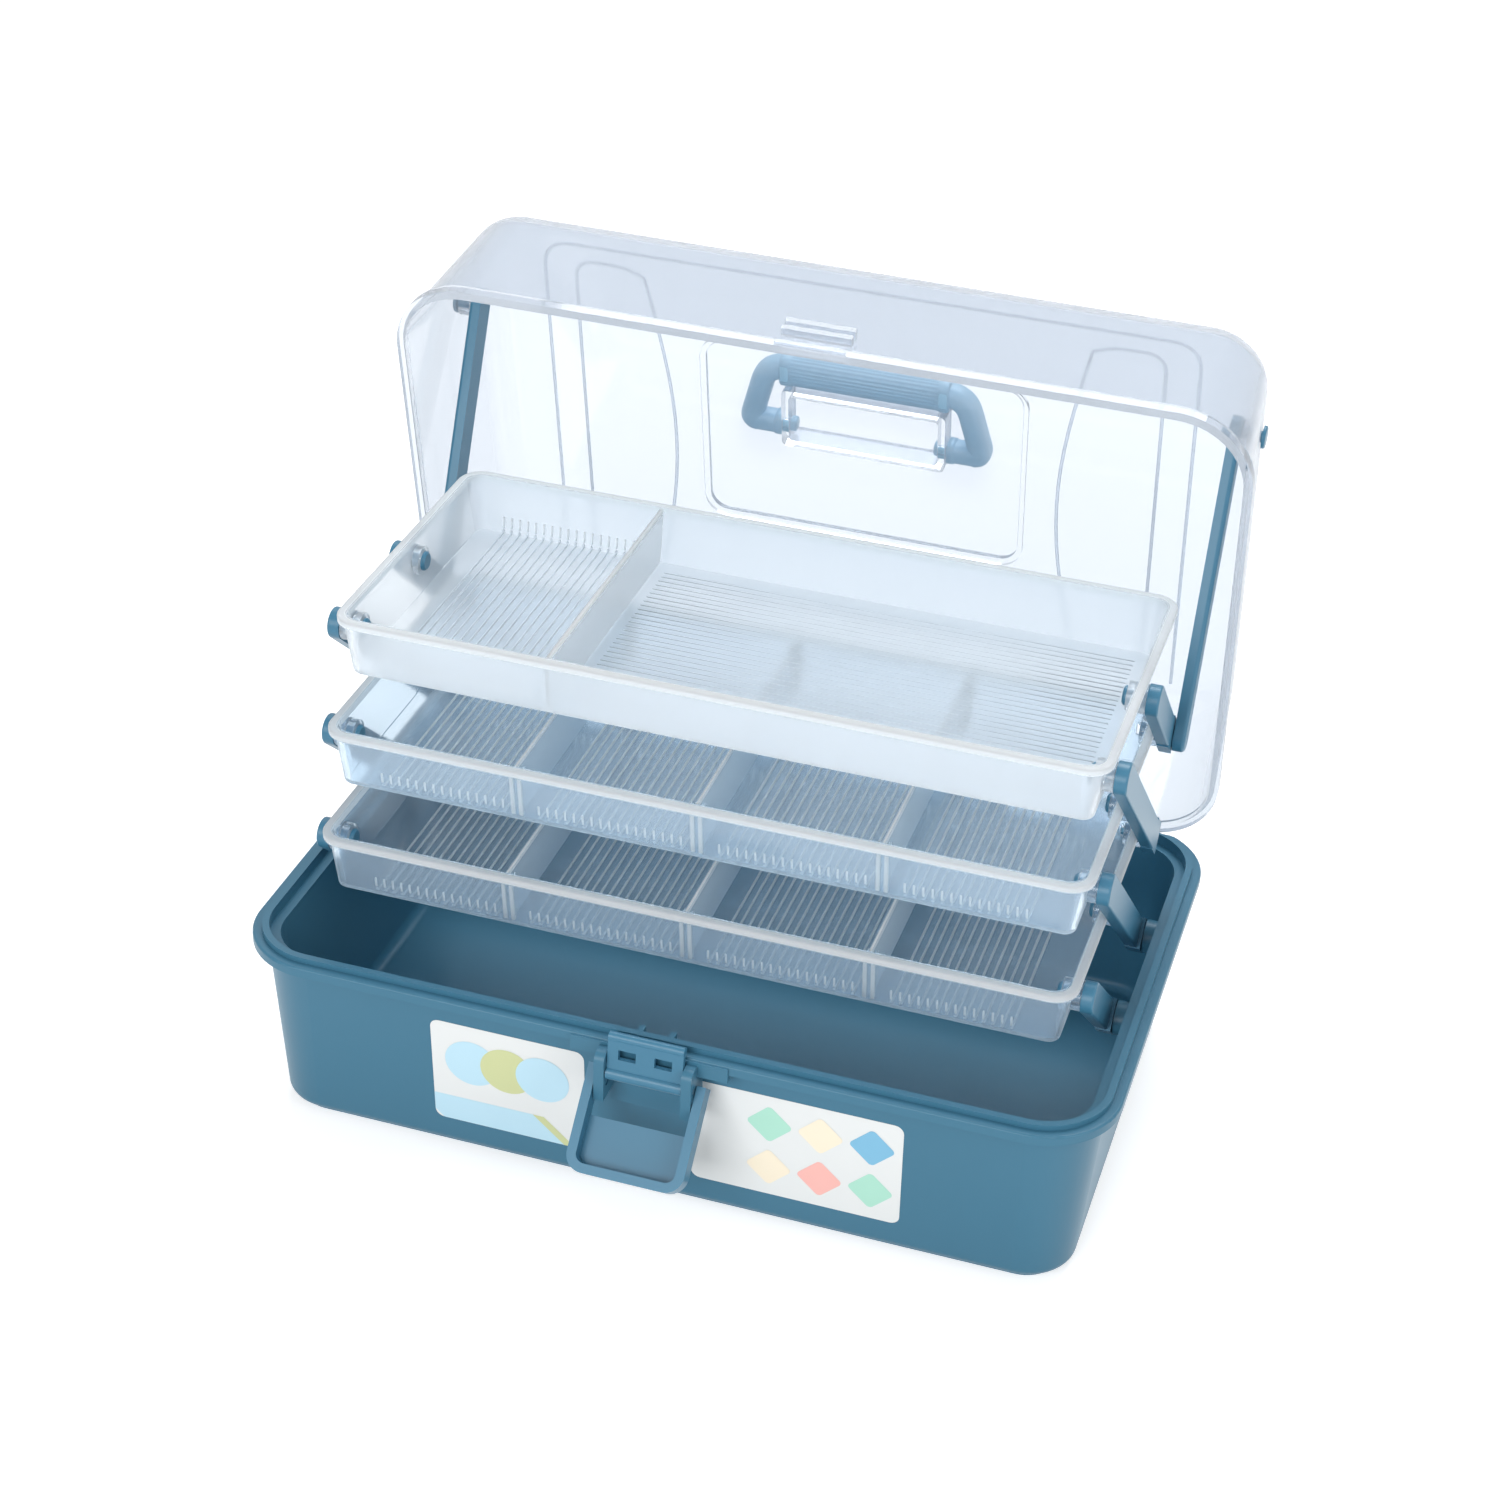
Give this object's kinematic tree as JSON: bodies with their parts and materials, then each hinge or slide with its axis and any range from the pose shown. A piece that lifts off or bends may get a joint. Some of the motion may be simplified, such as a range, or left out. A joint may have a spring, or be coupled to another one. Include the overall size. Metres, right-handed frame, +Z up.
{
  "type": "cantilever toolbox",
  "caption": "Plastic toolbox with clear hinged lid, cantilever trays on folding links, fold-flat handle and front latch.",
  "frame": {"origin": "centre of the bin's underside", "axes": "+X right along the long side, +Y from the latch to the hinge, +Z up; the lid is stored open as far as its struts let it"},
  "size_m": [0.38, 0.3427, 0.3256],
  "materials": {
    "bin_plastic": "moulded, satin",
    "link_plastic": "moulded, satin",
    "handle_plastic": "moulded, satin",
    "clear_lid": "clear, polished",
    "clear_tray": "clear, polished",
    "steel": "drawn wire"
  },
  "bodies": {
    "bin": {"base_bin": "bin_plastic", "hinge_pin_left": "steel", "hinge_pin_right": "steel", "latch_pin": "steel"},
    "lid": {"lid_shell": "clear_lid"},
    "handle": {"handle": "handle_plastic"},
    "tray_lower": {"tray_lower": "clear_tray", "divider_lower_1": "clear_tray", "divider_lower_2": "clear_tray", "divider_lower_3": "clear_tray"},
    "tray_middle": {"tray_middle": "clear_tray", "divider_middle_1": "clear_tray", "divider_middle_2": "clear_tray", "divider_middle_3": "clear_tray"},
    "tray_upper": {"tray_upper": "clear_tray"},
    "latch_clasp": {"latch_clasp": "link_plastic"},
    "latch_lever": {"latch_lever": "link_plastic"},
    "link_front_right": {"link_front_right": "link_plastic"},
    "link_lower_right": {"link_lower_right": "link_plastic"},
    "link_upper_right": {"link_upper_right": "link_plastic"},
    "link_rear_right": {"link_rear_right": "link_plastic"},
    "strut_right": {"strut_right": "link_plastic"},
    "link_front_left": {"link_front_left": "link_plastic"},
    "link_lower_left": {"link_lower_left": "link_plastic"},
    "link_upper_left": {"link_upper_left": "link_plastic"},
    "link_rear_left": {"link_rear_left": "link_plastic"},
    "strut_left": {"strut_left": "link_plastic"}
  },
  "joints": [
    {"name": "lid_hinge", "type": "hinge", "parent": "bin", "child": "lid", "pos_m": [0, 0.115, 0.0905], "axis": [1, 0, 0], "range_deg": [0, 79.1]},
    {"name": "link_front_right_turn", "type": "hinge", "parent": "bin", "child": "link_front_right", "pos_m": [0.168, -0.00697, 0.0712], "axis": [1, 0, 0], "range_deg": [-0.01, 17.91]},
    {"name": "link_lower_right_turn", "type": "hinge", "parent": "bin", "child": "link_lower_right", "pos_m": [0.168, 0.05603, 0.0712], "axis": [1, 0, 0], "range_deg": [-0.01, 17.91]},
    {"name": "link_upper_right_turn", "type": "hinge", "parent": "tray_lower", "child": "link_upper_right", "pos_m": [0.168, 0.066, 0.11796], "axis": [1, 0, 0], "range_deg": [-0.01, 17.91]},
    {"name": "link_rear_right_turn", "type": "hinge", "parent": "tray_middle", "child": "link_rear_right", "pos_m": [0.168, 0.07596, 0.16471], "axis": [1, 0, 0], "range_deg": [-0.01, 17.91]},
    {"name": "strut_right_turn", "type": "hinge", "parent": "lid", "child": "strut_right", "pos_m": [0.168, 0.13149, 0.28513], "axis": [1, 0, 0], "range_deg": [-0.01, 26.31]},
    {"name": "link_front_left_turn", "type": "hinge", "parent": "bin", "child": "link_front_left", "pos_m": [-0.168, -0.00697, 0.0712], "axis": [1, 0, 0], "range_deg": [-0.01, 17.91]},
    {"name": "link_lower_left_turn", "type": "hinge", "parent": "bin", "child": "link_lower_left", "pos_m": [-0.168, 0.05603, 0.0712], "axis": [1, 0, 0], "range_deg": [-0.01, 17.91]},
    {"name": "link_upper_left_turn", "type": "hinge", "parent": "tray_lower", "child": "link_upper_left", "pos_m": [-0.168, 0.066, 0.11796], "axis": [1, 0, 0], "range_deg": [-0.01, 17.91]},
    {"name": "link_rear_left_turn", "type": "hinge", "parent": "tray_middle", "child": "link_rear_left", "pos_m": [-0.168, 0.07596, 0.16471], "axis": [1, 0, 0], "range_deg": [-0.01, 17.91]},
    {"name": "strut_left_turn", "type": "hinge", "parent": "lid", "child": "strut_left", "pos_m": [-0.168, 0.13149, 0.28513], "axis": [1, 0, 0], "range_deg": [-0.01, 26.31]},
    {"name": "tray_lower_level", "type": "hinge", "parent": "link_lower_right", "child": "tray_lower", "pos_m": [0, 0.003, 0.11796], "axis": [1, 0, 0], "range_deg": [-17.91, 0.01]},
    {"name": "tray_middle_level", "type": "hinge", "parent": "link_lower_right", "child": "tray_middle", "pos_m": [0, -0.05004, 0.16471], "axis": [1, 0, 0], "range_deg": [-17.91, 0.01]},
    {"name": "tray_upper_level", "type": "hinge", "parent": "link_upper_right", "child": "tray_upper", "pos_m": [0, -0.04007, 0.21146], "axis": [1, 0, 0], "range_deg": [-17.91, 0.01]},
    {"name": "handle_fold", "type": "hinge", "parent": "lid", "child": "handle", "pos_m": [0, 0.17485, 0.23238], "axis": [-1, 0, 0], "range_deg": [0, 95]},
    {"name": "clasp_tilt", "type": "hinge", "parent": "bin", "child": "latch_clasp", "pos_m": [0, -0.123, 0.076], "axis": [1, 0, 0], "range_deg": [0, 60]},
    {"name": "lever_swing", "type": "hinge", "parent": "bin", "child": "latch_lever", "pos_m": [0, -0.122, 0.0705], "axis": [-1, 0, 0], "range_deg": [0, 130]}
  ],
  "couplings": [
    {"joint": "link_front_right_turn", "follows": "lid_hinge", "ratio": 0.2262},
    {"joint": "link_lower_right_turn", "follows": "lid_hinge", "ratio": 0.2262},
    {"joint": "link_upper_right_turn", "follows": "lid_hinge", "ratio": 0.2262},
    {"joint": "link_rear_right_turn", "follows": "lid_hinge", "ratio": 0.2262},
    {"joint": "strut_right_turn", "follows": "lid_hinge", "ratio": 0.3324},
    {"joint": "link_front_left_turn", "follows": "lid_hinge", "ratio": 0.2262},
    {"joint": "link_lower_left_turn", "follows": "lid_hinge", "ratio": 0.2262},
    {"joint": "link_upper_left_turn", "follows": "lid_hinge", "ratio": 0.2262},
    {"joint": "link_rear_left_turn", "follows": "lid_hinge", "ratio": 0.2262},
    {"joint": "strut_left_turn", "follows": "lid_hinge", "ratio": 0.3324},
    {"joint": "tray_lower_level", "follows": "lid_hinge", "ratio": -0.2262},
    {"joint": "tray_middle_level", "follows": "lid_hinge", "ratio": -0.2262},
    {"joint": "tray_upper_level", "follows": "lid_hinge", "ratio": -0.2262}
  ]
}
